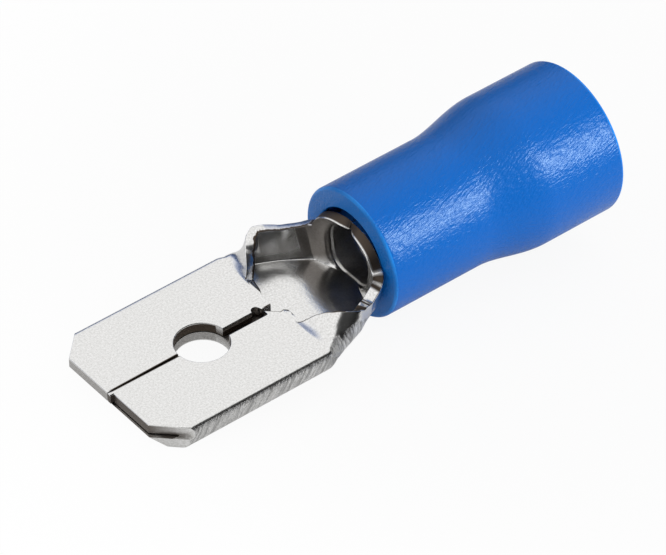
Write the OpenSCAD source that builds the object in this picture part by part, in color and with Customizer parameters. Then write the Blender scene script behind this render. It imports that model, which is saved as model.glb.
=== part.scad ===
// Insulated male tab terminal for crimping on a stranded wire.
// A tin-plated strip is stamped, folded double into a flat tab and rolled into a
// barrel; a moulded sleeve is pressed over the barrel.
// Millimetres. The wire barrel lies along X with its axis through the origin, the
// wire goes in at x = 0 and the tab points to +X. +Z is up, away from the tab's back.

/* [Tab] */
// Width across the folded edges
tab_w = 6.35; // [5.6:0.05:7.2]
// Thickness of the two layers together
tab_t = 0.8; // [0.7:0.02:0.9]
// Slit left between the two layers
fold_gap = 0.04; // [0.03:0.01:0.06]
// Slit left between the two folded flaps
seam_w = 0.06; // [0.04:0.01:0.12]
// Length from the tip to the rear ends of the flaps
flap_len = 6.95; // [6.4:0.05:8]
// Depth of the tab's middle below the barrel's axis
tab_drop = 0.825; // [0.7:0.025:0.9]
// Corner chamfer at the tip, measured along each edge
tip_chamfer = 1; // [0.6:0.05:1.2]
// Length of the lead-in bevel under the tip
bevel_len = 0.5; // [0.3:0.05:0.7]
// Height of the lead-in bevel under the tip
bevel_h = 0.36; // [0.2:0.02:0.36]
// How far the near flap stops short of the tip
flap_setback = 0.14; // [0.08:0.02:0.3]
// Depth of the vee at the front end of the seam
vee_len = 0.16; // [0.1:0.02:0.3]

/* [Locking hole] */
// Diameter of the hole
hole_d = 1.95; // [1.6:0.05:2.2]
// Distance from the tip to the hole's centre
hole_from_tip = 3.97; // [3.5:0.05:4.4]
// Width of the relief slot behind the hole
slot_w = 0.4; // [0.3:0.02:0.5]
// Distance from the hole's centre to the slot's end
slot_len = 2.6; // [2.2:0.05:2.8]
// Share of the slot's width on the far side of the centre line
slot_share = 0.3; // [0.2:0.05:0.5]
// Radius of the small relief at the slot's end
relief_r = 0.17; // [0.12:0.01:0.22]

/* [Neck] */
// Length from the flaps' rear ends to the sleeve
neck_len = 3.45; // [3:0.05:4.2]
// Height of the far side wall above its corner
wall_h = 1.25; // [1.1:0.02:1.3]
// How far the barrel's front edge bows out of the sleeve
barrel_bow = 0.22; // [0.15:0.01:0.3]

/* [Barrel] */
// Bore for the bared wire
barrel_bore = 2.3; // [2.1:0.05:2.4]
// Length inside the sleeve
barrel_len = 4.9; // [4.4:0.1:5.4]
// Butt joint left along the top
joint_w = 0.05; // [0.04:0.01:0.1]
// Pitch of the grip grooves across the bore
groove_pitch = 1; // [0.8:0.05:1.2]
// Width of a grip groove
groove_w = 0.16; // [0.12:0.02:0.24]
// Depth of a grip groove
groove_depth = 0.04; // [0.02:0.01:0.1]
// Distance of the first groove behind the sleeve's front face
groove_start = 0.02; // [0:0.01:0.06]
// Number of grooves
groove_count = 4; // [2:1:4]

/* [Sleeve] */
// Length of the sleeve
sleeve_len = 9.9; // [9.4:0.1:11]
// Outer diameter round the barrel
sleeve_front_d = 4.95; // [4.7:0.05:5.4]
// Outer diameter at the wire entry
sleeve_rear_d = 5.8; // [5.6:0.05:6.4]
// Length of the straight part at the wire entry
entry_len = 3; // [2.4:0.1:3.2]
// Length of the flare between the two diameters
flare_len = 2.75; // [2.2:0.05:3]
// Bore for the wire's insulation
entry_bore = 4.5; // [4.2:0.05:4.7]
// Diameter of the mouth that the neck leaves through
mouth_d = 3.42; // [3.4:0.02:3.8]
// Length of the taper behind the mouth
mouth_len = 1; // [0.8:0.05:1.2]
// Radial clearance between the barrel and the sleeve
barrel_fit = 0.02; // [0.01:0.01:0.05]
// Rounding of the sleeve's rims
rim_r = 0.12; // [0.05:0.01:0.2]
// How far the bore's flare starts behind the outer flare, so that the wall keeps its thickness
flare_shift = 0.3; // [0.2:0.05:0.4]

/* [Hidden] */
stock_t = (tab_t - fold_gap) / 2;            // thickness of the strip
fold_r = (stock_t + fold_gap) / 2;           // middle of the strip at a folded edge
roll_r = (barrel_bore + stock_t) / 2;        // middle of the strip in the barrel
barrel_r = barrel_bore / 2 + stock_t;
fold_floor = (tab_w - tab_t) / 2;            // flat half of the tab's lower layer
flap_w = fold_floor - seam_w / 2;            // flat part of a flap
tab_z = -tab_drop - tab_t / 2;               // underside of the tab
mid_z = -tab_drop;                           // plane between the two layers
tip_x = sleeve_len + neck_len + flap_len;
hole_x = tip_x - hole_from_tip;
lap = 0.03;                                  // the neck tucks this far inside the barrel's wall
lap_len = 0.25;                              // and laps over this length
barrel_top_s = PI * roll_r - joint_w / 2;    // developed half-width of the barrel
back = 10;                                   // overshoot of the cutting tools
coin = 4;                                    // squareness of the pressed fold edge, 2 is round

// Cross-sections of the neck, from inside the barrel to the tab. The far side stands
// up as a wall; the near side curls over, and its edge is cut lower.
// Each row: place as a share of neck_len ahead of the sleeve's face, flat floor as a
// share of the tab's, corner radius as a share of the way from fold to barrel,
// angle that the wall is turned up to, straight wall, radius of the roll above it as
// a share of the barrel's.
far_sections = [
    [-0.37, 0, 1, 90, 0, 1],
    [-0.29, 0, 1, 90, 0, 1],
    [0, 0.12, 0.62, 84, 0.4, 0.88],
    [0.1, 0.42, 0.33, 76, 1, 0.9],
    [0.235, 0.56, 0.17, 70, 0.9, 1.3],
    [0.37, 0.67, 0.07, 68, 0.5, 1.5],
    [0.58, 0.79, 0.06, 72, 0.4, 1.6],
    [0.65, 0.83, 0.06, 83, 0.4, 1.8],
    [0.78, 0.92, 0.06, 127, 0.1, 6],
    [0.88, 0.98, 0.03, 163, 1, 20],
    [0.97, 1, 0, 180, 9, 20],
    [1.2, 1, 0, 180, 9, 20],
];
near_sections = [
    [-0.37, 0, 1, 90, 0, 1],
    [-0.29, 0, 1, 90, 0, 1],
    [0, 0.12, 0.62, 84, 0.4, 0.88],
    [0.1, 0.4, 0.33, 76, 0.9, 0.85],
    [0.235, 0.52, 0.22, 78, 0.5, 0.9],
    [0.37, 0.61, 0.25, 92, 0.2, 0.75],
    [0.5, 0.7, 0.3, 115, 0.1, 0.6],
    [0.65, 0.78, 0.28, 133, 0.1, 0.6],
    [0.78, 0.86, 0.2, 150, 0.1, 0.7],
    [0.88, 0.94, 0.09, 166, 0.3, 1.4],
    [0.95, 0.99, 0.01, 178, 1, 8],
    [1, 1, 0, 180, 9, 20],
    [1.2, 1, 0, 180, 9, 20],
];
// Free edges of the strip along the neck; the near flap's rear corner is cut away.
// Each row: place as above, then the wall's height as a share of the way from wall_h
// to the full flap.
far_edge = [
    [0, -0.12], [0.15, -0.13], [0.3, -0.08], [0.5, 0], [0.6, 0], [0.65, -0.12], [0.78, -0.2],
    [0.93, 0], [0.945, 0.3], [0.985, 0.65], [1, 1], [1.2, 1],
];
near_edge = [
    [0, 0.11], [0.1, -0.03], [0.16, -0.28], [0.235, -0.45], [0.32, -0.54], [0.4, -0.65],
    [0.5, -0.69], [0.58, -0.65], [0.65, -0.58], [0.71, -0.49], [0.78, -0.3], [0.84, -0.16],
    [0.9, -0.02], [0.93, 0.15], [0.945, 0.62], [0.97, 0.76], [1, 0.77], [1.11, 1], [1.2, 1],
];
far = [far_sections, far_edge];
near = [near_sections, near_edge];
floor_drop_from = 0.64;                      // where the floor starts to sink, same measure
floor_drop_to = -0.24;
blade_from = 1.12;                           // where the plain folded tab takes over
stations = concat(
    [-0.37, -0.29, -0.2, -0.1],
    [for (k = [-1, 0, 1]) -(groove_start + k * groove_w / 2 * 0.999) / neck_len],
    [for (k = [1, 2]) k / 2 * barrel_bow / neck_len],
    [0.1, 0.16, 0.235, 0.32, 0.4, 0.5, 0.58, 0.65, 0.71, 0.78, 0.84, 0.9, 0.93, 0.945, 0.97],
    [0.985, 1, blade_from]
);
floor_steps = 2;
corner_steps = 8;
wall_steps = 6;

function lerp(a, b, t) = a + (b - a) * t;
function smooth(t) = let (u = min(max(t, 0), 1)) u * u * (3 - 2 * u);
function span_of(rows, x, i = 0) =
    i >= len(rows) - 2 || x < rows[i + 1][0] ? i : span_of(rows, x, i + 1);

// Monotone cubic through column k of the rows
function rise(rows, k, i) = (rows[i + 1][k] - rows[i][k]) / (rows[i + 1][0] - rows[i][0]);
function slope(rows, k, i) = i == 0 || i == len(rows) - 1 ? 0 :
    let (a = rise(rows, k, i - 1), b = rise(rows, k, i)) a * b <= 0 ? 0 : 2 * a * b / (a + b);
function curve(rows, k, x) =
    let (i = span_of(rows, x), h = rows[i + 1][0] - rows[i][0],
        t = min(max((x - rows[i][0]) / h, 0), 1), u = 1 - t)
    rows[i][k] * u * u * (1 + 2 * t) + rows[i + 1][k] * t * t * (3 - 2 * t)
        + h * t * u * (slope(rows, k, i) * u - slope(rows, k, i + 1) * t);
function along(rows, x) =
    let (i = span_of(rows, x)) lerp(rows[i][1], rows[i + 1][1],
        min(max((x - rows[i][0]) / (rows[i + 1][0] - rows[i][0]), 0), 1));

// Shape of one cross-section: floor, corner radius, wall angle, wall, roll radius, floor's z
function shape(u, side) = [
    fold_floor * curve(side[0], 1, u),
    lerp(fold_r, roll_r, curve(side[0], 2, u)),
    curve(side[0], 3, u),
    curve(side[0], 4, u),
    roll_r * curve(side[0], 5, u),
    lerp(tab_z + stock_t / 2, -roll_r,
        smooth((floor_drop_from - u) / (floor_drop_from - floor_drop_to))),
];
// Developed length round the corner up to the wall
function corner_end(q) = q[0] + q[1] * q[2] * PI / 180;
// Developed half-width of the strip
function wall_end(u, side) =
    corner_end(shape(u, side)) + lerp(wall_h, flap_w, along(side[1], u));
function edge(u, side) =
    let (bow = barrel_bow / neck_len)
    u <= 0 ? barrel_top_s :
    u < bow ? lerp(barrel_top_s, wall_end(bow, side), u / bow) : wall_end(u, side);

// Point on the middle of the strip at the developed distance s from the centre line
function mid_point(u, s, side) =
    let (
        q = shape(u, side),
        turn = min(max(s - q[0], 0) / q[1] * 180 / PI, q[2]),
        wall = min(max(s - corner_end(q), 0), q[3]),
        roll = q[2] + max(s - corner_end(q) - q[3], 0) / q[4] * 180 / PI
    ) [
        sleeve_len + u * neck_len,
        min(s, q[0]) + q[1] * sin(turn) + wall * cos(q[2]) + q[4] * (sin(roll) - sin(q[2])),
        q[5] + q[1] * (1 - cos(turn)) + wall * sin(q[2]) + q[4] * (cos(q[2]) - cos(roll))
    ];
// Outward normal of the strip there
function strip_normal(u, s, side) =
    let (
        e = 0.001,
        du = u >= 1 ? [1, 0, 0] : mid_point(u + e, s, side) - mid_point(u - e, s, side),
        ds = mid_point(u, s + e, side) - mid_point(u, s - e, side),
        n = cross(ds, du)
    ) n / norm(n);
// The pressed fold edge stands out squarer than round
function pressed(u, s, side) =
    let (
        q = shape(u, side),
        turn = (s - q[0]) / q[1] * 180 / PI - 90,
        n = lerp(2, coin, smooth((u - 0.9) / 0.1)),
        r = q[1] + stock_t / 2
    )
    turn <= -90 || turn >= 90 || u < 0.9 ? stock_t / 2 :
    r / pow(pow(abs(cos(turn)), n) + pow(abs(sin(turn)), n), 1 / n) - q[1];
// Grip groove that crosses the trough at the mouth
function groove_at(u) =
    groove_depth * max(0, 1 - abs(u * neck_len + groove_start) / (groove_w / 2));
function tuck(u) = u * neck_len < -mouth_len + 0.001 ? lap : 0;

// Developed distances at which a cross-section is drawn, from the centre line out
function distances(u, side) =
    let (
        q = shape(u, side), end = edge(u, side),
        a = max(q[0], 0.3), b = a + max(q[1] * q[2] * PI / 180, 0.3)
    ) concat(
        [for (i = [1:floor_steps]) a * i / floor_steps],
        [for (i = [1:corner_steps]) lerp(a, b, i / corner_steps)],
        [for (i = [1:wall_steps]) lerp(b, end, i / wall_steps)]
    );
function half_outer(u, side) = [for (s = distances(u, side))
    mid_point(u, s, side) + strip_normal(u, s, side) * (pressed(u, s, side) - tuck(u))];
function half_inner(u, side) = [for (s = distances(u, side))
    mid_point(u, s, side) - strip_normal(u, s, side) * (stock_t / 2 - tuck(u) - groove_at(u))];
function flip(p) = [p[0], -p[1], p[2]];
function reversed(list) = [for (i = [len(list) - 1:-1:0]) list[i]];
function both_sides(a, b) = concat([for (p = reversed(a)) flip(p)], b);
// Closed ring round one cross-section: outer face, then inner face back
function ring(u) = concat(
    both_sides(half_outer(u, far), half_outer(u, near)),
    reversed(both_sides(half_inner(u, far), half_inner(u, near)))
);

module neck() {
    rings = [for (u = stations) ring(u)];
    n = len(rings[0]);
    half = n / 2;
    faces = concat(
        [for (i = [0:len(rings) - 2], j = [0:n - 1], k = [0, 1])
            let (a = i * n + j, b = i * n + (j + 1) % n)
            k == 0 ? [a, b + n, b] : [a, a + n, b + n]],
        [for (j = [0:half - 2], k = [0, 1])
            k == 0 ? [j, n - 2 - j, n - 1 - j] : [j, j + 1, n - 2 - j]],
        [for (j = [0:half - 2], k = [0, 1])
            let (o = (len(rings) - 1) * n)
            k == 0 ? [o + j, o + n - 1 - j, o + n - 2 - j] : [o + j, o + n - 2 - j, o + j + 1]]
    );
    polyhedron([for (r = rings) each r], faces, convexity = 10);
}

// Plain folded tab, drawn as its cross-section and carried to the tip
module folded_blade() {
    from = sleeve_len + blade_from * neck_len;
    translate([from, 0, 0]) rotate([90, 0, 90])
        linear_extrude(tip_x - from) polygon([for (p = ring(blade_from)) [p[1], p[2]]]);
}

module barrel() {
    from = sleeve_len - barrel_len;
    to = sleeve_len - mouth_len - lap_len / 2;
    difference() {
        translate([from, 0, 0]) rotate([0, 90, 0]) cylinder(h = to - from, r = barrel_r, $fn = 96);
        translate([from - 1, 0, 0]) rotate([0, 90, 0])
            cylinder(h = barrel_len + 2, d = barrel_bore, $fn = 96);
        translate([from - 1, -joint_w / 2, 0]) cube([barrel_len + 2, joint_w, back]);
        for (i = [1:groove_count - 1]) grip_groove(sleeve_len - groove_start - i * groove_pitch);
    }
}

// Vee-shaped ring cut in the bore
module grip_groove(x) {
    r = barrel_bore / 2;
    translate([x, 0, 0]) rotate([0, 90, 0]) rotate_extrude($fn = 96)
        polygon([[r / 2, -groove_w / 2], [r, -groove_w / 2], [r + groove_depth, 0],
            [r, groove_w / 2], [r / 2, groove_w / 2]]);
}

// Wedge that takes one corner off at the tip, over the layers from z0 up
module tip_corner(side, size, z0) {
    half = tab_w / 2;
    translate([0, 0, z0]) linear_extrude(back)
        polygon([[tip_x - size, side * (half + 1)], [tip_x - size, side * half],
            [tip_x, side * (half - size)], [tip_x + 1, side * (half - size)],
            [tip_x + 1, side * (half + 1)]]);
}

module tip_cuts() {
    for (side = [-1, 1]) tip_corner(side, tip_chamfer, tab_z - 1);
    tip_corner(1, tip_chamfer + 1.6 * flap_setback, mid_z);
    translate([tip_x - flap_setback, vee_len, mid_z]) cube([1, back, back]);
    // vee at the front end of the seam
    translate([tip_x, 0, mid_z]) linear_extrude(back)
        polygon([[1, -seam_w / 2], [-vee_len * 0.7, -seam_w / 2], [-vee_len, seam_w / 2 + vee_len / 3],
            [1, 3 * vee_len]]);
    // lead-in bevel
    translate([0, back / 2, 0]) rotate([90, 0, 0]) linear_extrude(back)
        polygon([[tip_x + 0.01, tab_z - 1], [tip_x + 0.01, tab_z + bevel_h], [tip_x, tab_z + bevel_h],
            [tip_x - bevel_len, tab_z], [tip_x - bevel_len, tab_z - 1]]);
}

// Slot in the upper layer from the hole back, with a small relief at its end
module relief_slot() {
    slot_end = hole_x - slot_len;
    translate([0, 0, mid_z]) linear_extrude(back) {
        translate([slot_end, -slot_w * slot_share]) square([slot_len, slot_w]);
        translate([slot_end + slot_w / 2, -slot_w * slot_share]) circle(r = relief_r, $fn = 24);
    }
}

module tab_terminal() {
    color([0.82, 0.82, 0.81]) difference() {
        union() {
            folded_blade();
            neck();
            barrel();
        }
        tip_cuts();
        relief_slot();
        translate([hole_x, 0, tab_z - 1]) cylinder(h = tab_t + 2, d = hole_d, $fn = 64);
    }
}

// Outer radius along the sleeve, x from the wire entry
function sleeve_radius(x) =
    lerp(sleeve_rear_d, sleeve_front_d, smooth((x - entry_len) / flare_len)) / 2;
// Bore radius along the sleeve; its flare follows the outer one
bore_from = entry_len - flare_shift;
bore_to = sleeve_len - barrel_len - 0.1;
function sleeve_bore(x) =
    lerp(entry_bore / 2, barrel_r + barrel_fit, smooth((x - bore_from) / (bore_to - bore_from)));

module insulating_sleeve() {
    steps = 10;
    corner = [for (a = [0:22.5:90]) a];
    outside = concat(
        [for (a = corner) [sleeve_rear_d / 2 - rim_r * (1 - sin(a)), rim_r * (1 - cos(a))]],
        [for (i = [0:steps]) let (x = entry_len + flare_len * i / steps) [sleeve_radius(x), x]],
        [for (a = corner)
            [sleeve_front_d / 2 - rim_r * (1 - cos(a)), sleeve_len - rim_r * (1 - sin(a))]]
    );
    inside = concat(
        [for (a = corner) [mouth_d / 2 + rim_r / 2 * (1 - sin(a)), sleeve_len - rim_r / 2 * (1 - cos(a))]],
        [[barrel_r + barrel_fit, sleeve_len - mouth_len]],
        [for (i = [steps:-1:0])
            let (x = lerp(bore_from, bore_to, i / steps)) [sleeve_bore(x), x]],
        [[entry_bore / 2, 0]]
    );
    color([0.1, 0.4, 0.78]) rotate([0, 90, 0]) rotate_extrude($fn = 128)
        polygon(concat(outside, inside));
}

tab_terminal();
insulating_sleeve();
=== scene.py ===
import bpy
import math
import numpy as np
from mathutils import Matrix, Vector


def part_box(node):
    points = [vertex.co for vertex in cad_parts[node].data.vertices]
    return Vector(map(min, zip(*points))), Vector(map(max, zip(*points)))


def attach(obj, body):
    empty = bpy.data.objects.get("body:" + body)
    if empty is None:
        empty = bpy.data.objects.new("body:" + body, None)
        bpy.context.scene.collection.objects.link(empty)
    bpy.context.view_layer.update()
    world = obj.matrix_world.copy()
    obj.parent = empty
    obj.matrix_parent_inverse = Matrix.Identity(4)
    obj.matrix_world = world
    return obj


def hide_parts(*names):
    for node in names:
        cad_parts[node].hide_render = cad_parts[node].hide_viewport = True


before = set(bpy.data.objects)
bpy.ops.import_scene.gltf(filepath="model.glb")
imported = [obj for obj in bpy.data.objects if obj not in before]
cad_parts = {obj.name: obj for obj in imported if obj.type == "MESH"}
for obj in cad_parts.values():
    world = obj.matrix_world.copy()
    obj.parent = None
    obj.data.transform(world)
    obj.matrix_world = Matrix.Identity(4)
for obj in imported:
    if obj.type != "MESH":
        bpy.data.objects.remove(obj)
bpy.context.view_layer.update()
print("frame loaded")

mm = 0.001
sleeveLow, sleeveHigh = [[v / mm for v in corner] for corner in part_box("insulating_sleeve")]
metalLow, metalHigh = [[v / mm for v in corner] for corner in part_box("tab_terminal")]


def makeMesh(name, verts, faces, uv=None, marks=None):
    # verts in millimetres; uv and marks hold one value for each vertex
    mesh = bpy.data.meshes.new(name)
    mesh.from_pydata((np.asarray(verts) * mm).tolist(), [], faces)
    mesh.update()
    corner = np.zeros(len(mesh.loops), dtype=np.int32)
    mesh.loops.foreach_get("vertex_index", corner)
    if uv is not None:
        layer = mesh.uv_layers.new(name="developed")
        layer.data.foreach_set("uv", np.asarray(uv, dtype=np.float32)[corner].ravel())
    for key, values in (marks or {}).items():
        field = mesh.attributes.new(key, "FLOAT", "POINT")
        field.data.foreach_set("value", np.asarray(values, dtype=np.float32))
    piece = bpy.data.objects.new(name, mesh)
    bpy.context.scene.collection.objects.link(piece)
    return piece


def gridFaces(rows, columns, closed=False):
    # quads between neighbouring rows and columns of a grid, the columns joined round if closed
    across = columns if closed else columns - 1
    a, b = np.meshgrid(np.arange(rows - 1), np.arange(across), indexing="ij")
    c = (b + 1) % columns
    quads = np.stack([a * columns + b, a * columns + c,
                      (a + 1) * columns + c, (a + 1) * columns + b], -1)
    return quads.reshape(-1, 4)


def latheMesh(name, profile, around, axis="x", centre=(0, 0, 0), marks=None):
    # every point of a closed profile (distance along the axis, radius) turned once round the axis
    profile = np.asarray(profile, dtype=float)
    angle = np.linspace(0, 2 * np.pi, around, endpoint=False)
    along = np.repeat(profile[:, :1], around, 1)
    c, s = profile[:, 1:] * np.cos(angle), profile[:, 1:] * np.sin(angle)
    parts = [along, s, c] if axis == "x" else [c, s, along]
    verts = np.stack(parts, -1).reshape(-1, 3) + np.array(centre)
    rows = len(profile)
    faces = gridFaces(rows, around, closed=True)
    last = np.stack([(rows - 1) * around + np.arange(around),
                     (rows - 1) * around + (np.arange(around) + 1) % around,
                     (np.arange(around) + 1) % around, np.arange(around)], -1)
    faces = np.concatenate([faces, last])
    uv = np.stack([along, np.repeat(angle[None, :], rows, 0) * profile[:, 1:]], -1).reshape(-1, 2)
    return makeMesh(name, verts, faces.tolist(), uv, marks(verts) if marks else None)


def smoothStep(t):
    # three t squared less two t cubed, held between 0 and 1
    t = np.clip(t, 0, 1)
    return t * t * (3 - 2 * t)


def setSmooth(piece, degrees):
    mesh = piece.data
    mesh.polygons.foreach_set("use_smooth", np.ones(len(mesh.polygons), dtype=bool))
    mesh.set_sharp_from_angle(angle=math.radians(degrees))
    mesh.update()


terminal = {
    "tabWidth": 6.35, "tabThick": 0.8, "foldGap": 0.04, "tabDrop": 0.825,
    "seamAtTip": 0.02, "seamAtHole": 0.1, "flapLength": 6.95,
    "tipChamfer": 1.0, "bevelLength": 0.5, "bevelHeight": 0.42, "flapSetback": 0.14,
    "veeLength": 0.16,
    "holeDiameter": 1.95, "holeFromTip": 3.97, "slotWidth": 0.4, "slotLength": 2.6,
    "slotShare": 0.3, "reliefRadius": 0.17,
    "neckLength": 3.45, "wallHeight": 1.25, "barrelBow": 0.22,
    "barrelBore": 2.3, "barrelLength": 4.9, "jointWidth": 0.05,
    "groovePitch": 1.0, "grooveWidth": 0.16, "grooveDepth": 0.04, "grooveStart": 0.02,
    "grooveCount": 4, "edgeRadius": 0.03, "coin": 4.0,
    "shearShare": 0.7, "brokenShare": 0.85, "slotBroken": 0.5,
    "floorDropFrom": 0.64, "floorDropTo": -0.24,
    # share of the neck, flat floor, corner radius, wall angle, straight wall, roll radius
    "farSections": [
        [-0.37, 0, 1, 90, 0, 1],
        [-0.29, 0, 1, 90, 0, 1],
        [0, 0.12, 0.62, 84, 0.4, 0.88],
        [0.1, 0.42, 0.33, 76, 1, 0.9],
        [0.235, 0.56, 0.17, 70, 0.9, 1.3],
        [0.37, 0.67, 0.07, 68, 0.5, 1.5],
        [0.58, 0.79, 0.06, 72, 0.4, 1.6],
        [0.65, 0.83, 0.06, 83, 0.4, 1.8],
        [0.78, 0.92, 0.06, 127, 0.1, 6],
        [0.88, 0.98, 0.03, 163, 1, 20],
        [0.97, 1, 0, 180, 9, 20],
        [1.2, 1, 0, 180, 9, 20]],
    "nearSections": [
        [-0.37, 0, 1, 90, 0, 1],
        [-0.29, 0, 1, 90, 0, 1],
        [0, 0.12, 0.62, 84, 0.4, 0.88],
        [0.1, 0.4, 0.33, 76, 0.9, 0.85],
        [0.235, 0.52, 0.22, 78, 0.5, 0.9],
        [0.37, 0.61, 0.25, 92, 0.2, 0.75],
        [0.5, 0.7, 0.3, 115, 0.1, 0.6],
        [0.65, 0.78, 0.28, 133, 0.1, 0.6],
        [0.78, 0.86, 0.2, 150, 0.1, 0.7],
        [0.88, 0.94, 0.09, 166, 0.3, 1.4],
        [0.95, 0.99, 0.01, 178, 1, 8],
        [1, 1, 0, 180, 9, 20],
        [1.2, 1, 0, 180, 9, 20]],
    # share of the neck, height of the free edge between the wall and the full flap, far and near
    "farEdge": [
        [0, -0.12], [0.15, -0.13], [0.3, -0.08], [0.5, 0], [0.6, 0], [0.65, -0.12],
        [0.78, -0.2], [0.93, 0], [0.945, 0.3], [0.985, 0.65], [1, 1], [1.2, 1]],
    "nearEdge": [
        [0, 0.11], [0.1, -0.03], [0.16, -0.28], [0.235, -0.45], [0.32, -0.54], [0.4, -0.65],
        [0.5, -0.69], [0.58, -0.65], [0.65, -0.58], [0.71, -0.49], [0.78, -0.3], [0.84, -0.16],
        [0.9, -0.02], [0.93, 0.15], [0.945, 0.62], [0.97, 0.76], [1, 0.77], [1.11, 1], [1.2, 1]],
}

stock = (terminal["tabThick"] - terminal["foldGap"]) / 2
foldRadius = (stock + terminal["foldGap"]) / 2
rollRadius = (terminal["barrelBore"] + stock) / 2
foldFloor = (terminal["tabWidth"] - terminal["tabThick"]) / 2
sleeveLength = sleeveHigh[0]
tipX = metalHigh[0]
holeX = tipX - terminal["holeFromTip"]
midZ = -terminal["tabDrop"]
topZ = midZ + terminal["tabThick"] / 2
underZ = midZ - terminal["tabThick"] / 2
neck = terminal["neckLength"]
brokenHalf = terminal["foldGap"] / 2 + stock * terminal["brokenShare"]
slotHalf = terminal["foldGap"] / 2 + stock * terminal["slotBroken"]


def monotone(rows, column, x):
    # cubic through a table whose slope at each row is the harmonic mean of its two neighbours'
    table = np.asarray(rows, dtype=float)
    places, values = table[:, 0], table[:, column]
    rise = np.diff(values) / np.diff(places)
    slope = np.zeros(len(values))
    product = rise[:-1] * rise[1:]
    total = rise[:-1] + rise[1:]
    slope[1:-1] = np.where(product > 0, 2 * product / np.where(total == 0, 1, total), 0)
    i = np.clip(np.searchsorted(places, x, side="right") - 1, 0, len(places) - 2)
    h = places[i + 1] - places[i]
    t = np.clip((x - places[i]) / h, 0, 1)
    u = 1 - t
    return (values[i] * u * u * (1 + 2 * t) + values[i + 1] * t * t * (3 - 2 * t)
            + h * t * u * (slope[i] * u - slope[i + 1] * t))


def sectionShape(u, side=-1):
    # floor, corner radius, wall angle, wall, roll radius and the floor's height at a share of the neck
    rows = terminal["nearSections" if side > 0 else "farSections"]
    drop = smoothStep((terminal["floorDropFrom"] - u)
                      / (terminal["floorDropFrom"] - terminal["floorDropTo"]))
    low = underZ + stock / 2
    return (foldFloor * monotone(rows, 1, u),
            foldRadius + (rollRadius - foldRadius) * monotone(rows, 2, u),
            np.radians(monotone(rows, 3, u)),
            monotone(rows, 4, u),
            rollRadius * monotone(rows, 5, u),
            low + (-rollRadius - low) * drop)


def seamHalf(u):
    # the seam opens evenly from the tip to the hole
    x = sleeveLength + u * neck
    t = np.clip((tipX - x) / terminal["holeFromTip"], 0, 1)
    return (terminal["seamAtTip"] + (terminal["seamAtHole"] - terminal["seamAtTip"]) * t) / 2


def freeEdge(u, side=-1):
    # developed distance from the centre line to the strip's free edge on the far or the near side
    floor, corner, angle, wall, roll, low = sectionShape(u, side)
    table = np.asarray(terminal["nearEdge" if side > 0 else "farEdge"], dtype=float)
    flap = foldFloor - seamHalf(u)
    share = np.interp(u, table[:, 0], table[:, 1])
    wallHeight = terminal["wallHeight"]
    wallEnd = floor + corner * angle + wallHeight + (flap - wallHeight) * share
    # the rolled barrel stops where its edge comes within half a joint of the middle
    reach = floor + corner * np.sin(angle) + wall * np.cos(angle)
    sine = np.sin(angle) + (terminal["jointWidth"] / 2 - reach) / roll
    top = floor + corner * angle + wall + roll * (np.pi - np.arcsin(np.clip(sine, -1, 1)) - angle)
    bow = terminal["barrelBow"] / neck
    t = np.clip(u / bow, 0, 1)
    return np.where(u <= 0, top, np.where(u < bow, top + (wallEnd - top) * t, wallEnd))


def midPoint(u, s, side=-1):
    # flat floor, round corner, straight wall and roll, followed for the distance s
    floor, corner, angle, wall, roll, low = sectionShape(u, side)
    turn = np.minimum(np.maximum(s - floor, 0) / corner, angle)
    straight = np.clip(s - floor - corner * angle, 0, wall)
    rolled = angle + np.maximum(s - floor - corner * angle - wall, 0) / roll
    x = sleeveLength + u * neck
    y = (np.minimum(s, floor) + corner * np.sin(turn) + straight * np.cos(angle)
         + roll * (np.sin(rolled) - np.sin(angle)))
    z = (low + corner * (1 - np.cos(turn)) + straight * np.sin(angle)
         + roll * (np.cos(angle) - np.cos(rolled)))
    return np.stack([x, y, z], -1)


def stripNormal(u, s, side=-1):
    # the cross product of the strip's two directions, each a small central difference
    e = 0.001
    inNeck = (u < 1)[..., None]
    near = np.minimum(u, 1)
    du = np.where(inNeck, midPoint(near + e, s, side) - midPoint(near - e, s, side),
                  np.array([1.0, 0, 0]))
    ds = midPoint(u, s + e, side) - midPoint(u, s - e, side)
    n = np.cross(ds, du)
    return n / np.linalg.norm(n, axis=-1, keepdims=True)


def pressedHalf(u, s, side=-1):
    # half thickness outside; the pressed fold edge stands out squarer than round
    floor, corner, angle, wall, roll, low = sectionShape(u, side)
    turn = np.clip((s - floor) / corner - np.pi / 2, -np.pi / 2, np.pi / 2)
    n = 2 + (terminal["coin"] - 2) * smoothStep((u - 0.9) / 0.1)
    r = corner + stock / 2
    bulge = r / (np.abs(np.cos(turn)) ** n + np.abs(np.sin(turn)) ** n) ** (1 / n) - corner
    return np.where(u < 0.9, stock / 2, bulge)


def grooveAt(u):
    # vee grooves across the bore, one pitch apart
    x = u * neck
    depth = np.zeros_like(x)
    for i in range(terminal["grooveCount"]):
        place = -terminal["grooveStart"] - i * terminal["groovePitch"]
        depth = np.maximum(depth, 1 - np.abs(x - place) / (terminal["grooveWidth"] / 2))
    return terminal["grooveDepth"] * np.maximum(depth, 0)


def outerThenInner(first, second):
    # one row round the ring: the outer face's values, then the inner face's in reverse
    return np.concatenate([first, second[:, ::-1]], 1)


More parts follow.
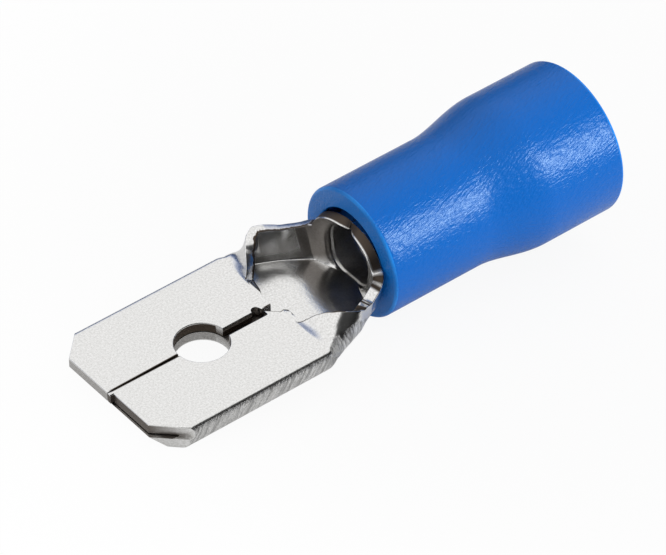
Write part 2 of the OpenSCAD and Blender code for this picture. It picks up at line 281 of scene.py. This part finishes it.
def stripMesh():
    # the cross-section's path of (distance, height) pairs is carried along the strip
    rows = []
    rows.append(np.linspace(-terminal["barrelLength"], -1.0, 60) / neck)
    rows.append(np.linspace(-1.0, 0, 24)[1:] / neck)
    rows.append(np.linspace(0, terminal["barrelBow"], 14)[1:] / neck)
    rows.append(np.linspace(terminal["barrelBow"] / neck, 0.86, 66)[1:])
    rows.append(np.linspace(0.86, 1.0, 40)[1:])
    rows.append(np.linspace(1.0, 1.06, 6)[1:])
    rows.append(np.linspace(1.06, (tipX + 0.2 - sleeveLength) / neck, 34)[1:])
    u = np.concatenate(rows)
    u = np.unique(np.round(np.concatenate([u] + [
        (-terminal["grooveStart"] - i * terminal["groovePitch"]
         + np.array([-1, -0.5, 0, 0.5, 1]) * terminal["grooveWidth"] / 2 * 0.999) / neck
        for i in range(terminal["grooveCount"])]), 6))
    far, near = [halfSection(u, side) for side in (-1, 1)]
    flipped = [values[:, :0:-1] for values in far]
    outerFull = np.concatenate([flipped[0] * np.array([1, -1, 1]), near[0]], 1)
    innerFull = np.concatenate([flipped[1] * np.array([1, -1, 1]), near[1]], 1)
    ring = np.concatenate([outerFull, innerFull[:, ::-1]], 1)
    count, size = len(u), ring.shape[1]
    half = size // 2
    faces = gridFaces(count, size, closed=True)
    j = np.arange(half - 1)
    cap = np.stack([j, size - 1 - j, size - 2 - j, j + 1], -1)
    faces = np.concatenate([faces, cap, cap[:, ::-1] + (count - 1) * size])
    joined = [np.concatenate([sign * flipped[k], near[k]], 1)
              for k, sign in ((2, -1), (3, 1), (4, 1), (5, 1))]
    s, bend, outerCutAndShade, innerCutAndShade = joined
    # on the tab the drawn marks slant along the folded edge
    onTab = smoothStep((u[:, None] - 0.8) / 0.2)
    along = u[:, None] * neck * (1 + 0.6 * onTab) + 2.2 * onTab * np.abs(outerThenInner(s, s))
    uv = np.stack([along, outerThenInner(s, s + 20)], -1).reshape(-1, 2)
    # the cut-face mark also holds painted shade: inside the fold, the barrel and the far wall, and
    # along the flap's edges and the fold's start
    marks = {"bend": outerThenInner(bend, 0 * bend).ravel(),
             "cutFaceAndShade": outerThenInner(outerCutAndShade, innerCutAndShade).ravel()}
    return makeMesh("tabTerminal", ring.reshape(-1, 3), faces.tolist(), uv, marks)


def halfSection(u, side):
    # outer and inner points of one half, with their distances, bend, and marks for the cut faces and
    # for painted shade
    floorCount, cornerCount, wallCount, roundCount = 12, 18, 20, 3
    floor, corner, angle, wall, roll, low = sectionShape(u, side)
    end = freeEdge(u, side)
    r = terminal["edgeRadius"]
    first = np.maximum(floor, 0.3)
    second = first + np.maximum(corner * angle, 0.3)
    t1 = np.linspace(0, 1, floorCount + 1)
    t2 = np.linspace(0, 1, cornerCount + 1)[1:]
    t3 = np.linspace(0, 1, wallCount + 1)[1:]
    s = np.concatenate([first[:, None] * t1,
                        first[:, None] + (second - first)[:, None] * t2,
                        second[:, None] + (end - 2 * r - second)[:, None] * t3,
                        (end - r)[:, None]], 1)
    flat = s.shape[1]
    turn = np.radians(np.linspace(0, 90, roundCount + 1)[1:])
    s = np.concatenate([s, (end - r)[:, None] + r * np.sin(turn), end[:, None]], 1)
    drop = np.concatenate([np.zeros(flat), r * (1 - np.cos(turn)), [0]])
    # the cut face is sheared bright to a ragged depth and broken dark below it; at the barrel's
    # front the break lies outside, and on the near wall the tool has left stripes across it
    uu = np.repeat(u[:, None], s.shape[1], 1)
    ragged = np.random.default_rng(5 + side).random((2, len(u)))
    inBarrel = u * neck < terminal["barrelBow"] + 0.05
    inFlap = u > (0.62 if side > 0 else 0.92)
    sheared = np.where(inFlap, 0.3, terminal["shearShare"]) + 0.2 * (ragged[0] - 0.5)
    bright = np.where(inBarrel, 0.75, sheared)
    outerDrop, innerDrop = [np.repeat(drop[None, :], len(u), 0) for i in range(2)]
    outerDrop[:, -1] = stock * bright
    innerDrop[:, -1] = stock * (0.96 - bright)
    turning = (s - floor[:, None]) / (corner * angle)[:, None]
    flattened = smoothStep((u - 0.8) / 0.2)[:, None]
    bend = ((turning > -0.02) & (turning < 0.93 - 0.19 * flattened)) * (1 - 0.3 * flattened)
    if side < 0:
        bend *= (u < 0.9)[:, None]
    outerCutAndShade, innerCutAndShade = np.zeros_like(s), np.zeros_like(s)
    outerCutAndShade[:, flat + 1:] = inBarrel[:, None]
    # painted shade: the flap's rounded free edge is darkened along with its cut face
    outerCutAndShade[:, flat - 1:] += inFlap[:, None]
    # painted shade: a faint dark line where the fold starts to turn, past the middle of the neck and
    # on the tab
    outerCutAndShade[:, :flat] += 0.35 * ((turning < 0.16) & (turning > 0) & (u > 0.5)[:, None])[:, :flat]
    innerCutAndShade[:, -1] = 1
    innerCutAndShade[:, flat + 1:-1] = ~inBarrel[:, None]
    # painted shade: the inner faces of both folded layers, seen through the seam, slot and hole, are
    # darkened
    innerCutAndShade[:, :flat + 1] = (u > 1.0)[:, None] * 0.9
    # painted shade: the inside of the barrel is darkened
    innerCutAndShade[:, :flat + 1] += 0.4 * (u < -0.01)[:, None]
    if side > 0:
        striped = (u > 0.07) & (u < 0.45)
        stripe = (ragged[1] > 0.55)[:, None]
        outerCutAndShade[:, flat:] = np.where(striped[:, None], stripe, outerCutAndShade[:, flat:])
        innerCutAndShade[:, flat:] = np.where(striped[:, None], stripe, innerCutAndShade[:, flat:])
    else:
        behind = inFlap & (u < 1.15)
        outerCutAndShade[behind, flat + 1:] = 0
        outerDrop[behind, -1] = stock * 0.8
        innerDrop[behind, -1] = stock * 0.16
        # painted shade on the far wall's inner face: strongest towards the barrel, lighter high up the
        # wall past a fifth of the neck
        depth = (0.4 + 0.4 * smoothStep((0.36 - u) / 0.2)) * ((u >= -0.01) & (u < 0.9))
        above = (s - (floor + corner * angle)[:, None]) / terminal["wallHeight"]
        paintedWallShade = depth[:, None] * smoothStep((turning - 0.35) / 0.5)
        paintedWallShade *= 1 - 0.75 * smoothStep((above - 0.05) / 0.2) * (u > 0.2)[:, None]
        innerCutAndShade[:, :flat + 1] += paintedWallShade[:, :flat + 1]
    mid, normal = midPoint(uu, s, side), stripNormal(uu, s, side)
    outer = mid + normal * (pressedHalf(uu, s, side) - outerDrop)[..., None]
    inner = mid - normal * (stock / 2 - innerDrop - grooveAt(uu))[..., None]
    return outer, inner, s, bend, outerCutAndShade, innerCutAndShade


def outlinePrism(name, outline, levels):
    # a closed plan outline carried up; each level gives (height, how far the outline grows there)
    path = np.asarray(outline, dtype=float)
    before, after = np.roll(path, 1, 0), np.roll(path, -1, 0)
    n1, n2 = path - before, after - path
    n1 = np.stack([n1[:, 1], -n1[:, 0]], -1) / np.linalg.norm(n1, axis=1, keepdims=True)
    n2 = np.stack([n2[:, 1], -n2[:, 0]], -1) / np.linalg.norm(n2, axis=1, keepdims=True)
    mitre = (n1 + n2) / (1 + (n1 * n2).sum(1, keepdims=True))
    rings = [np.column_stack([path + mitre * grow, np.full(len(path), height)])
             for height, grow in levels]
    verts = np.concatenate(rings)
    count = len(path)
    faces = gridFaces(len(levels), count, closed=True).tolist()
    faces.append(list(range(count))[::-1])
    faces.append([(len(levels) - 1) * count + i for i in range(count)])
    return makeMesh(name, verts, faces)


def markBroken(piece):
    # upright faces cut through the tab: rough up to the bright rim, finer in the lower layer and
    # on the far half of the tip
    mesh = piece.data
    verts = np.zeros(len(mesh.vertices) * 3)
    mesh.vertices.foreach_get("co", verts)
    x, y, z = verts.reshape(-1, 3).T / mm
    normals = np.zeros(len(mesh.polygons) * 3)
    mesh.polygons.foreach_get("normal", normals)
    sizes = np.zeros(len(mesh.polygons), dtype=np.int32)
    mesh.polygons.foreach_get("loop_total", sizes)
    corner = np.zeros(len(mesh.loops), dtype=np.int32)
    mesh.loops.foreach_get("vertex_index", corner)
    upright = np.repeat(np.abs(normals.reshape(-1, 3)[:, 2]) < 0.3, sizes)
    onWall = np.zeros(len(x), dtype=bool)
    onWall[corner[upright]] = True
    slotEnd = holeX - terminal["slotLength"]
    inSlot = (np.abs(y) < terminal["slotWidth"]) & (x < holeX) & (x > slotEnd - 0.2)
    half = np.where(inSlot, slotHalf, brokenHalf) + 0.005
    onWall &= (np.abs(z - midZ) < half) & (x > slotEnd - 0.2)
    onWall &= (np.abs(y) < foldFloor) | (x > tipX - 0.95)
    atTip = x > tipX - terminal["tipChamfer"]
    value = np.where(z < midZ, 0.45, 1.0)
    value[atTip] = np.where(y < 0, 0.45, np.where(z < midZ, 0.1, 0.9))[atTip]
    field = mesh.attributes["cutFaceAndShade"]
    marks = np.zeros(len(x), dtype=np.float32)
    field.data.foreach_get("value", marks)
    marks = np.where(onWall, np.maximum(marks, value), marks)
    # the lower layer's ledge in front of the near half of the flap is kept bright, without the painted
    # shade of the fold's inner faces
    ledge = (x > tipX - 0.3) & (y > terminal["veeLength"]) & (z < midZ) & (z > midZ - stock)
    marks[ledge] = np.minimum(marks, 0.1)[ledge]
    field.data.foreach_set("value", marks.astype(np.float32))


def flareLevels(low, high, radius, atLow=True, atHigh=True, half=brokenHalf,
                steps=5, beyond=0.15):
    # straight between low and high, growing as a quarter round next to each face that it leaves by
    a = np.radians(np.linspace(0, 90, steps + 1))
    levels = []
    if atLow:
        levels += [(low - beyond, radius + beyond * 0.2)]
        levels += [(low + radius * (1 - math.cos(v)), radius * (1 - math.sin(v)))
                   for v in a]
    else:
        levels += [(low, 0)]
    for height in (-half - 0.01, -half, half, half + 0.01):
        if low + radius < midZ + height < high - radius:
            levels.append((midZ + height, 0))
    if atHigh:
        levels += [(high - radius * (1 - math.cos(v)), radius * (1 - math.sin(v)))
                   for v in a[::-1]]
        levels += [(high + beyond, radius + beyond * 0.2)]
    else:
        levels += [(high, 0)]
    return levels


def carve(piece, cutter):
    modifier = piece.modifiers.new("cut", "BOOLEAN")
    modifier.operation = "DIFFERENCE"
    modifier.solver = "MANIFOLD"
    modifier.object = cutter
    before = len(piece.data.polygons)
    applyModifiers(piece)
    bpy.data.objects.remove(cutter)
    print("cut", before, len(piece.data.polygons))


def applyModifiers(piece):
    graph = bpy.context.evaluated_depsgraph_get()
    graph.update()
    mesh = bpy.data.meshes.new_from_object(piece.evaluated_get(graph))
    piece.modifiers.clear()
    old = piece.data
    piece.data = mesh
    bpy.data.meshes.remove(old)
    mesh.name = piece.name


def tipOutline(setback, chamfer, side=0):
    # everything past the tip's edge and its two chamfers, or past one half of it
    half = terminal["tabWidth"] / 2
    x = tipX - setback
    right = [[x, half - chamfer], [x - chamfer, half],
             [x - chamfer, half + 1], [tipX + 1, half + 1]]
    left = [[tipX + 1, -half - 1], [x - chamfer, -half - 1],
            [x - chamfer, -half], [x, -half + chamfer]]
    if side > 0:
        left = [[tipX + 1, terminal["veeLength"]], [x, terminal["veeLength"]]]
    return (right + left)[::-1]


def makeTerminal():
    piece = stripMesh()
    print("strip", len(piece.data.polygons), "faces")
    r = terminal["edgeRadius"]
    gapHigh, lap = midZ + terminal["foldGap"] / 2, 0.005
    carve(piece, outlinePrism("tipLower", tipOutline(0.001, terminal["tipChamfer"]),
                              flareLevels(underZ, midZ + lap, r, atHigh=False)))
    carve(piece, outlinePrism("tipUpper", tipOutline(0.001, terminal["tipChamfer"]),
                              flareLevels(midZ - lap, topZ, r, atLow=False)))
    nearOutline = tipOutline(terminal["flapSetback"], terminal["tipChamfer"] + 0.1, 1)
    carve(piece, outlinePrism("tipNear", nearOutline,
                              flareLevels(midZ - lap, topZ, 2 * r, atLow=False)))
    back = terminal["bevelLength"]
    bevel = np.array([[tipX + 0.1, -5, underZ - 1], [tipX + 0.1, -5, underZ + terminal["bevelHeight"]],
                      [tipX, -5, underZ + terminal["bevelHeight"]], [tipX - back, -5, underZ],
                      [tipX - back - 0.02, -5, underZ - 1]])
    other = bevel + np.array([0, 10, 0])
    count = len(bevel)
    faces = [[i, count + i, count + (i + 1) % count, (i + 1) % count] for i in range(count)]
    faces += [list(range(count)), [count + i for i in range(count)][::-1]]
    carve(piece, makeMesh("leadIn", np.concatenate([bevel, other]), faces))
    levels = flareLevels(underZ, topZ, r)
    profile = [(h, terminal["holeDiameter"] / 2 + g) for h, g in levels]
    profile = [(profile[0][0], 0.0001)] + profile + [(profile[-1][0], 0.0001)]
    carve(piece, latheMesh("hole", profile, 96, axis="z", centre=(holeX, 0, 0)))
    w, share = terminal["slotWidth"], terminal["slotShare"]
    endX = holeX - terminal["slotLength"]
    near, far = w * (1 - share), -w * share
    corner = 0.06
    outline = [[holeX, far], [holeX, near]]
    outline += [[endX + corner - corner * math.sin(v), near - corner + corner * math.cos(v)]
                for v in np.radians(np.linspace(0, 90, 5))]
    outline += [[endX + corner - corner * math.cos(v), far + corner - corner * math.sin(v)]
                for v in np.radians(np.linspace(0, 90, 5))]
    slotLevels = flareLevels(gapHigh - 0.01, topZ, r, atLow=False, half=slotHalf)
    carve(piece, outlinePrism("slot", outline, slotLevels))
    radius = terminal["reliefRadius"]
    levels = flareLevels(gapHigh - 0.01, topZ, r * 0.8, atLow=False)
    profile = [(h, radius + g) for h, g in levels]
    profile = [(profile[0][0], 0.0001)] + profile + [(profile[-1][0], 0.0001)]
    carve(piece, latheMesh("relief", profile, 32, axis="z", centre=(endX + w / 2, far, 0)))
    markBroken(piece)
    setSmooth(piece, 35)
    return piece


sleeve = {
    "frontDiameter": 4.95, "rearDiameter": 5.8, "entryLength": 3.0, "flareLength": 2.75,
    "entryBore": 4.5, "mouthDiameter": 3.45, "mouthLength": 1.0, "barrelFit": 0.02,
    "frontRim": 0.14, "rearRim": 0.12, "mouthRim": 0.05, "entryRim": 0.05, "flareShift": 0.3,
}


def makeSleeve():
    # outer skin, front rim, bore and rear rim as one closed profile turned round the axis
    rear, front = sleeve["rearDiameter"] / 2, sleeve["frontDiameter"] / 2
    a = np.radians(np.linspace(0, 90, 9))
    rim = sleeve["rearRim"]
    part = [np.column_stack([rim * (1 - np.cos(a)), rear - rim * (1 - np.sin(a))])]
    x = np.linspace(0.3, sleeve["entryLength"], 12)
    part.append(np.column_stack([x, np.full_like(x, rear)]))
    t = np.linspace(0, 1, 31)[1:]
    part.append(np.column_stack([sleeve["entryLength"] + sleeve["flareLength"] * t,
                                 rear + (front - rear) * smoothStep(t)]))
    x = np.linspace(sleeve["entryLength"] + sleeve["flareLength"], sleeveLength - 0.3, 16)[1:]
    part.append(np.column_stack([x, np.full_like(x, front)]))
    rim = sleeve["frontRim"]
    part.append(np.column_stack([sleeveLength - rim * (1 - np.sin(a)),
                                 front - rim * (1 - np.cos(a))]))
    mouth, rim = sleeve["mouthDiameter"] / 2, sleeve["mouthRim"]
    part.append(np.column_stack([sleeveLength - rim * (1 - np.cos(a)),
                                 mouth + rim * (1 - np.sin(a))]))
    bore = terminal["barrelBore"] / 2 + stock + sleeve["barrelFit"]
    part.append(np.array([[sleeveLength - sleeve["mouthLength"], bore]]))
    boreFrom = sleeve["entryLength"] - sleeve["flareShift"]
    boreTo = sleeveLength - terminal["barrelLength"] - 0.1
    t = np.linspace(1, 0, 25)
    entry = sleeve["entryBore"] / 2
    part.append(np.column_stack([boreFrom + (boreTo - boreFrom) * t,
                                 entry + (bore - entry) * smoothStep(t)]))
    rim = sleeve["entryRim"]
    part.append(np.column_stack([rim * (1 - np.sin(a)), entry + rim * (1 - np.cos(a))]))
    profile = np.concatenate(part)[::-1]
    piece = latheMesh("insulatingSleeve", profile, 192, marks=rimHighlight)
    setSmooth(piece, 40)
    return piece


def rimHighlight(verts):
    # painted highlight: a lighter blue on the front face and on the rounded outer edge of each end,
    # patchy round the axis
    radius, x = np.hypot(verts[:, 1], verts[:, 2]), verts[:, 0]
    rim = 0.7 * sleeve["frontRim"]
    front = (x > sleeveLength - rim) & (radius > sleeve["frontDiameter"] / 2 - rim)
    rear = (x < rim) & (radius > sleeve["rearDiameter"] / 2 - rim)
    face = (x > sleeveLength - 0.01) & (radius > sleeve["mouthDiameter"] / 2)
    patchy = 0.75 + 0.25 * np.sin(7 * np.arctan2(verts[:, 1], verts[:, 2]) + 1.0)
    return {"rim": np.maximum((front | rear) * 0.8 * patchy, face * 0.35)}


def newMaterial(name):
    material = bpy.data.materials.new(name)
    material.use_nodes = True
    tree = material.node_tree
    shader = tree.nodes["Principled BSDF"]
    return material, tree, shader


def addNode(tree, kind, **values):
    node = tree.nodes.new(kind)
    for key, value in values.items():
        setattr(node, key, value)
    return node


def tinPlate():
    material, tree, shader = newMaterial("tinPlate")
    shader.inputs["Metallic"].default_value = 1.0
    shader.inputs["Base Color"].default_value = (0.80, 0.79, 0.775, 1)
    shader.inputs["Roughness"].default_value = 0.22
    link = tree.links.new
    uv = addNode(tree, "ShaderNodeUVMap", uv_map="developed")
    place = addNode(tree, "ShaderNodeMapping")
    place.inputs["Scale"].default_value = (6.5, 1.4, 1)
    link(uv.outputs["UV"], place.inputs["Vector"])
    drawn = addNode(tree, "ShaderNodeTexNoise")
    drawn.inputs["Scale"].default_value = 1.0
    drawn.inputs["Detail"].default_value = 5
    drawn.inputs["Roughness"].default_value = 0.65
    drawn.inputs["Distortion"].default_value = 0.6
    link(place.outputs["Vector"], drawn.inputs["Vector"])
    bend = addNode(tree, "ShaderNodeAttribute", attribute_name="bend")
    strength = addNode(tree, "ShaderNodeMath", operation="MULTIPLY_ADD")
    link(bend.outputs["Fac"], strength.inputs[0])
    strength.inputs[1].default_value = 0.95
    strength.inputs[2].default_value = 0.05
    bump = addNode(tree, "ShaderNodeBump")
    bump.inputs["Distance"].default_value = 0.0001
    link(drawn.outputs["Fac"], bump.inputs["Height"])
    link(strength.outputs["Value"], bump.inputs["Strength"])
    coord = addNode(tree, "ShaderNodeTexCoord")
    fine = addNode(tree, "ShaderNodeTexNoise")
    fine.inputs["Scale"].default_value = 9000
    fine.inputs["Detail"].default_value = 3
    link(coord.outputs["Object"], fine.inputs["Vector"])
    bump2 = addNode(tree, "ShaderNodeBump")
    bump2.inputs["Distance"].default_value = 0.000004
    bump2.inputs["Strength"].default_value = 0.5
    link(fine.outputs["Fac"], bump2.inputs["Height"])
    link(bump.outputs["Normal"], bump2.inputs["Normal"])
    link(bump2.outputs["Normal"], shader.inputs["Normal"])
    cut = addNode(tree, "ShaderNodeAttribute", attribute_name="cutFaceAndShade")
    grain = addNode(tree, "ShaderNodeTexNoise")
    grain.inputs["Scale"].default_value = 14000
    grain.inputs["Detail"].default_value = 2
    link(coord.outputs["Object"], grain.inputs["Vector"])
    bloom = addNode(tree, "ShaderNodeMapRange")
    link(grain.outputs["Fac"], bloom.inputs["Value"])
    bloom.inputs["From Min"].default_value = 0.3
    bloom.inputs["From Max"].default_value = 0.7
    tin = addNode(tree, "ShaderNodeMix", data_type="RGBA")
    link(bloom.outputs["Result"], tin.inputs["Factor"])
    tin.inputs[6].default_value = (0.7, 0.695, 0.68, 1)
    tin.inputs[7].default_value = (0.88, 0.875, 0.865, 1)
    # painted reflection: on the bends the drawn noise also darkens the colour in streaks
    streak = addNode(tree, "ShaderNodeMapRange")
    link(drawn.outputs["Fac"], streak.inputs["Value"])
    streak.inputs["From Min"].default_value = 0.52
    streak.inputs["From Max"].default_value = 0.58
    share = addNode(tree, "ShaderNodeMath", operation="MULTIPLY")
    link(streak.outputs["Result"], share.inputs[0])
    link(bend.outputs["Fac"], share.inputs[1])
    paintedStreaks = addNode(tree, "ShaderNodeMix", data_type="RGBA")
    link(share.outputs["Value"], paintedStreaks.inputs["Factor"])
    link(tin.outputs[2], paintedStreaks.inputs[6])
    paintedStreaks.inputs[7].default_value = (0.36, 0.355, 0.35, 1)
    # dark brown: bare broken metal on the cut faces, and painted shade where the mark is set on inner
    # faces and edges
    colour = addNode(tree, "ShaderNodeMix", data_type="RGBA")
    link(cut.outputs["Fac"], colour.inputs["Factor"])
    link(paintedStreaks.outputs[2], colour.inputs[6])
    colour.inputs[7].default_value = (0.09, 0.07, 0.055, 1)
    link(colour.outputs[2], shader.inputs["Base Color"])
    rough = addNode(tree, "ShaderNodeMapRange")
    link(cut.outputs["Fac"], rough.inputs["Value"])
    rough.inputs["To Min"].default_value = 0.2
    rough.inputs["To Max"].default_value = 0.5
    link(rough.outputs["Result"], shader.inputs["Roughness"])
    return material


def blueVinyl():
    material, tree, shader = newMaterial("blueVinyl")
    link = tree.links.new
    shader.inputs["Roughness"].default_value = 0.25
    # painted highlight: where the rim mark is set, a lighter blue for the lit front face and the
    # rounded end edges
    rim = addNode(tree, "ShaderNodeAttribute", attribute_name="rim")
    colour = addNode(tree, "ShaderNodeMix", data_type="RGBA")
    link(rim.outputs["Fac"], colour.inputs["Factor"])
    colour.inputs[6].default_value = (0.001, 0.108, 0.43, 1)
    colour.inputs[7].default_value = (0.02, 0.27, 0.8, 1)
    link(colour.outputs[2], shader.inputs["Base Color"])
    shader.inputs["Specular IOR Level"].default_value = 0.24
    coord = addNode(tree, "ShaderNodeTexCoord")
    place = addNode(tree, "ShaderNodeMapping", vector_type="TEXTURE")
    place.inputs["Scale"].default_value = (0.0003, 0.00007, 0.00007)
    place.inputs["Rotation"].default_value = (0, 0.2, 0.24)
    link(coord.outputs["Object"], place.inputs["Vector"])
    grain = addNode(tree, "ShaderNodeTexNoise")
    grain.inputs["Scale"].default_value = 1.0
    grain.inputs["Detail"].default_value = 3
    link(place.outputs["Vector"], grain.inputs["Vector"])
    bump = addNode(tree, "ShaderNodeBump")
    bump.inputs["Distance"].default_value = 0.00003
    bump.inputs["Strength"].default_value = 1.0
    link(grain.outputs["Fac"], bump.inputs["Height"])
    link(bump.outputs["Normal"], shader.inputs["Normal"])
    return material


def restTilt():
    # the part leans on the sleeve's front rim and on the tab's tip
    dx = tipX - terminal["bevelLength"] - sleeveLength
    dz = underZ + sleeve["frontDiameter"] / 2
    return math.atan2(dz, dx)


def makeFloor():
    # a plane through the two lines that the part rests on
    tilt = restTilt()
    start = np.array([sleeveLength, 0, -sleeve["frontDiameter"] / 2 - 0.002])
    along = np.array([math.cos(tilt), 0, math.sin(tilt)])
    across = np.array([0, 1.0, 0])
    reach = studio["floorReach"]
    verts = [start + along * i * reach + across * j * reach
             for i, j in ((-1, -1), (1, -1), (1, 1), (-1, 1))]
    floor = makeMesh("studioFloor", verts, [[0, 1, 2, 3]])
    material, tree, shader = newMaterial("paleFloor")
    shader.inputs["Base Color"].default_value = (0.96, 0.96, 0.96, 1)
    shader.inputs["Roughness"].default_value = 0.9
    shader.inputs["Specular IOR Level"].default_value = 0.0
    path = addNode(tree, "ShaderNodeLightPath")
    mirrored = addNode(tree, "ShaderNodeMath", operation="MULTIPLY")
    tree.links.new(path.outputs["Is Glossy Ray"], mirrored.inputs[0])
    mirrored.inputs[1].default_value = studio["floorMirrored"]
    lift = addNode(tree, "ShaderNodeMath", operation="MULTIPLY_ADD")
    tree.links.new(path.outputs["Is Camera Ray"], lift.inputs[0])
    coord = addNode(tree, "ShaderNodeTexCoord")
    fromMiddle = addNode(tree, "ShaderNodeVectorMath", operation="LENGTH")
    tree.links.new(coord.outputs["Object"], fromMiddle.inputs[0])
    fade = addNode(tree, "ShaderNodeMapRange", interpolation_type="SMOOTHSTEP")
    fade.inputs["From Min"].default_value = studio["floorFade"] * mm
    fade.inputs["From Max"].default_value = studio["floorReach"] * 0.95 * mm
    fade.inputs["To Min"].default_value = studio["floorWhite"]
    tree.links.new(fromMiddle.outputs["Value"], fade.inputs["Value"])
    tree.links.new(fade.outputs["Result"], lift.inputs[1])
    tree.links.new(mirrored.outputs["Value"], lift.inputs[2])
    white = addNode(tree, "ShaderNodeEmission")
    blend = addNode(tree, "ShaderNodeMixShader")
    tree.links.new(lift.outputs["Value"], blend.inputs[0])
    tree.links.new(shader.outputs["BSDF"], blend.inputs[1])
    tree.links.new(white.outputs["Emission"], blend.inputs[2])
    tree.links.new(blend.outputs["Shader"], tree.nodes["Material Output"].inputs["Surface"])
    floor.data.materials.append(material)
    return floor


camera = {
    "azimuth": 38.318, "elevation": 41.942, "roll": -0.387,
    "target": (10.683, 0, -0.676), "distance": 171.33, "lens": 270.27,
}


def viewBack():
    az, el = math.radians(camera["azimuth"]), math.radians(camera["elevation"])
    return Vector((math.sin(az) * math.cos(el), math.cos(az) * math.cos(el), math.sin(el)))


def makeCamera():
    back = viewBack()
    right = (-back).cross(Vector((0, 0, 1))).normalized()
    up = back.cross(right)
    ro = math.radians(camera["roll"])
    r2 = right * math.cos(ro) + up * math.sin(ro)
    u2 = up * math.cos(ro) - right * math.sin(ro)
    data = bpy.data.cameras.new("mainCamera")
    data.lens = camera["lens"]
    data.sensor_width = 36
    data.clip_start = 0.01
    data.clip_end = 10
    view = bpy.data.objects.new("mainCamera", data)
    place = Vector(camera["target"]) * mm + back * camera["distance"] * mm
    view.matrix_world = Matrix(((r2.x, u2.x, back.x, place.x), (r2.y, u2.y, back.y, place.y),
                                (r2.z, u2.z, back.z, place.z), (0, 0, 0, 1)))
    bpy.context.scene.collection.objects.link(view)
    bpy.context.scene.camera = view


studio = {
    "ambient": 0.74, "softboxPower": 0.14, "softboxSize": 20, "softboxDistance": 130,
    "softboxDirection": (-0.46, 0.76, 0.45), "floorWhite": 0.92, "floorMirrored": 0.2,
    "darkSide": (-0.35, 1, -0.2), "darkFrom": 0.09, "darkTo": 0.2, "darkLevel": 0.035,
    "horizonLow": 0.04, "horizonHigh": 0.45, "horizonLevel": 0.12,
    "horizonTint": (0.1, 0.33, 1.0, 1), "softboxColour": (0.72, 0.93, 1),
    "floorReach": 32, "floorFade": 12,
}


def makeLights(receiver):
    # an even world with a dark side and a low horizon for mirror-like rays, and a softbox that
    # lights the sleeve only
    world = bpy.data.worlds.new("studioWorld")
    bpy.context.scene.world = world
    world.use_nodes = True
    tree = world.node_tree
    link = tree.links.new
    background = tree.nodes["Background"]
    background.inputs["Color"].default_value = (1, 1, 1, 1)
    path = addNode(tree, "ShaderNodeLightPath")
    coord = addNode(tree, "ShaderNodeTexCoord")
    facing = addNode(tree, "ShaderNodeVectorMath", operation="DOT_PRODUCT")
    facing.inputs[1].default_value = Vector(studio["darkSide"]).normalized()
    link(coord.outputs["Generated"], facing.inputs[0])
    dark = addNode(tree, "ShaderNodeMapRange", interpolation_type="SMOOTHSTEP")
    dark.inputs["From Min"].default_value = studio["darkFrom"]
    dark.inputs["From Max"].default_value = studio["darkTo"]
    dark.inputs["To Min"].default_value = 1.0
    dark.inputs["To Max"].default_value = studio["darkLevel"]
    link(facing.outputs["Value"], dark.inputs["Value"])
    split = addNode(tree, "ShaderNodeSeparateXYZ")
    link(coord.outputs["Generated"], split.inputs[0])
    horizon = addNode(tree, "ShaderNodeMapRange", interpolation_type="SMOOTHSTEP")
    horizon.inputs["From Min"].default_value = studio["horizonLow"]
    horizon.inputs["From Max"].default_value = studio["horizonHigh"]
    horizon.inputs["To Min"].default_value = studio["horizonLevel"]
    link(split.outputs["Z"], horizon.inputs["Value"])
    both = addNode(tree, "ShaderNodeMath", operation="MULTIPLY")
    link(dark.outputs["Result"], both.inputs[0])
    link(horizon.outputs["Result"], both.inputs[1])
    away = addNode(tree, "ShaderNodeMath", operation="LESS_THAN")
    link(split.outputs["Y"], away.inputs[0])
    away.inputs[1].default_value = -0.1
    cool = addNode(tree, "ShaderNodeMapRange")
    link(horizon.outputs["Result"], cool.inputs["Value"])
    cool.inputs["From Min"].default_value = studio["horizonLevel"]
    cool.inputs["To Min"].default_value = 1.0
    cool.inputs["To Max"].default_value = 0.0
    tint = addNode(tree, "ShaderNodeMath", operation="MULTIPLY")
    link(cool.outputs["Result"], tint.inputs[0])
    link(away.outputs["Value"], tint.inputs[1])
    glossyTint = addNode(tree, "ShaderNodeMath", operation="MULTIPLY")
    link(tint.outputs["Value"], glossyTint.inputs[0])
    link(path.outputs["Is Glossy Ray"], glossyTint.inputs[1])
    sky = addNode(tree, "ShaderNodeMix", data_type="RGBA")
    link(glossyTint.outputs["Value"], sky.inputs["Factor"])
    sky.inputs[6].default_value = (1, 1, 1, 1)
    sky.inputs[7].default_value = studio["horizonTint"]
    link(sky.outputs[2], background.inputs["Color"])
    pick = addNode(tree, "ShaderNodeMix")
    link(path.outputs["Is Glossy Ray"], pick.inputs["Factor"])
    pick.inputs["A"].default_value = studio["ambient"]
    link(both.outputs["Value"], pick.inputs["B"])
    final = addNode(tree, "ShaderNodeMix")
    link(path.outputs["Is Camera Ray"], final.inputs["Factor"])
    link(pick.outputs["Result"], final.inputs["A"])
    final.inputs["B"].default_value = 1.0
    link(final.outputs["Result"], background.inputs["Strength"])
    data = bpy.data.lights.new("softbox", "AREA")
    data.energy = studio["softboxPower"]
    data.color = studio["softboxColour"]
    data.size = studio["softboxSize"] * mm
    lamp = bpy.data.objects.new("softbox", data)
    direction = Vector(studio["softboxDirection"]).normalized()
    centre = Vector((0.5 * sleeveLength, 0, 0)) * mm
    lamp.location = centre + direction * studio["softboxDistance"] * mm
    lamp.rotation_euler = direction.to_track_quat("Z", "Y").to_euler()
    bpy.context.scene.collection.objects.link(lamp)
    lit = bpy.data.collections.new("softboxReceivers")
    lit.objects.link(receiver)
    lamp.light_linking.receiver_collection = lit


bpy.context.scene.view_settings.view_transform = "Standard"
makeCamera()
metal = makeTerminal()
metal.data.materials.clear()
metal.data.materials.append(tinPlate())
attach(metal, "root")
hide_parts("tab_terminal")
print("terminal made")
cover = makeSleeve()
cover.data.materials.append(blueVinyl())
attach(cover, "root")
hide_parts("insulating_sleeve")
print("sleeve made")
makeFloor()
makeLights(cover)
print("studio made")
